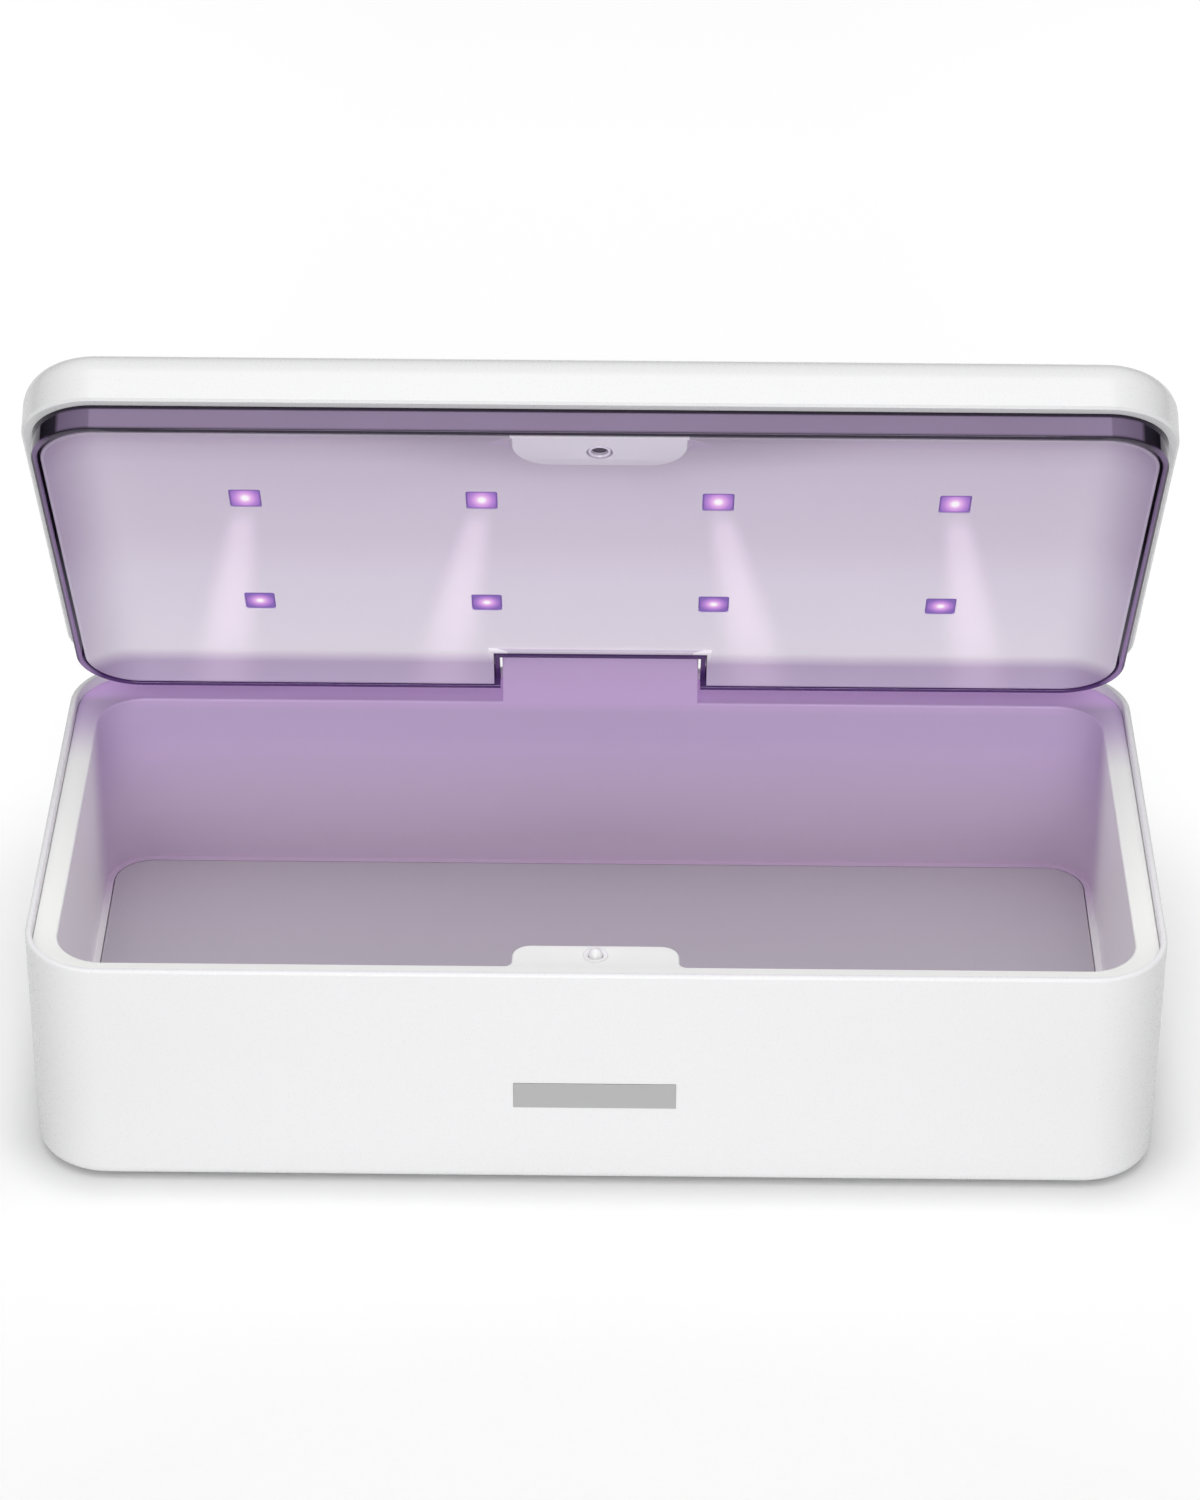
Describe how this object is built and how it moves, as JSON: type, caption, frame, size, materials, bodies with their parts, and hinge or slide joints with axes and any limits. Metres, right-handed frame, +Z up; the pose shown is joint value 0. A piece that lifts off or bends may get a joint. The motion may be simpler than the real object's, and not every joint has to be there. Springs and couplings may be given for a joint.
{
  "type": "ultraviolet phone sanitizer box",
  "caption": "White round-cornered box with a deep lined cavity for a phone and a friction-hinged lid that carries two rows of violet lamps.",
  "frame": {"origin": "middle of the flat pad that the box stands on", "axes": "+X to the right along the box's width, which is its longest extent, +Y to the back where the hinge is, +Z up; the front faces -Y"},
  "size_m": [0.214, 0.1132, 0.1468],
  "materials": {
    "shell_white": "smooth white plastic with a soft shine",
    "liner_white": "smooth white plastic",
    "floor_grey": "matt pale grey plastic",
    "pad_rubber": "matt dark non-slip rubber sheet",
    "badge_metal": "bare satin grey metal",
    "plunger_white": "glossy white plastic",
    "smoked_plastic": "glossy smoked purple-black plastic",
    "panel_white": "smooth white plastic, lilac under the lamps",
    "pane_clear": "clear pane",
    "catch_plastic": "smooth pale plastic",
    "lamp_violet": "lamp body that glows violet",
    "light_ring_clear": "milky translucent plastic",
    "button_white": "smooth white plastic",
    "steel": "plain steel",
    "bush_brass": "plain turned brass",
    "board_green": "green solder resist on fibreglass",
    "lamp_board_white": "white-coated aluminium board",
    "black_plastic": "matt black plastic",
    "lead_grey": "soft grey sheath"
  },
  "bodies": {
    "base": {"base_shell": "shell_white", "base_pad": "pad_rubber", "base_screws": "steel", "inner_liner": "liner_white", "floor_plate": "floor_grey", "front_badge": "badge_metal", "plunger_guide": "plunger_white", "plunger_spring": "steel", "lid_switch": "black_plastic", "switch_screws": "steel", "switch_lead": "lead_grey", "main_board": "board_green", "board_parts": "black_plastic", "buzzer": "black_plastic", "board_screws": "steel", "power_inlet": "steel", "inlet_tongue": "black_plastic", "friction_bush": "bush_brass", "lead_bush": "bush_brass", "base_lead": "lead_grey"},
    "lid": {"lid_shell": "shell_white", "smoked_ring": "smoked_plastic", "lid_panel": "panel_white", "lamp_windows": "pane_clear", "lamp_boards": "lamp_board_white", "uv_lamps": "lamp_violet", "lamp_board_screws": "steel", "catch_ring": "catch_plastic", "catch_pin": "steel", "hinge_pin": "steel", "hinge_tube": "steel", "lid_lead": "lead_grey", "button_switch": "black_plastic", "button_board": "board_green", "button_board_screws": "steel", "light_ring": "light_ring_clear"},
    "plunger": {"plunger": "plunger_white"},
    "start_button": {"start_button": "button_white", "switch_actuator": "black_plastic"}
  },
  "joints": [
    {"name": "lid_hinge", "type": "hinge", "parent": "base", "child": "lid", "pos_m": [0, 0.0505, 0.0551], "axis": [-1, 0, 0], "range_deg": [-57.7, 22.3]},
    {"name": "plunger_slide", "type": "slide", "parent": "base", "child": "plunger", "axis": [0, 0, -1], "range_m": [0, 0.001], "stiffness_N_per_m": 300, "springref_m": -0.0005, "deforming": ["plunger_spring"]},
    {"name": "start_button_slide", "type": "slide", "parent": "lid", "child": "start_button", "axis": [0, -0.8453, -0.5344], "range_m": [0, 0.0006], "stiffness_N_per_m": 1500, "springref_m": -0.0003}
  ]
}
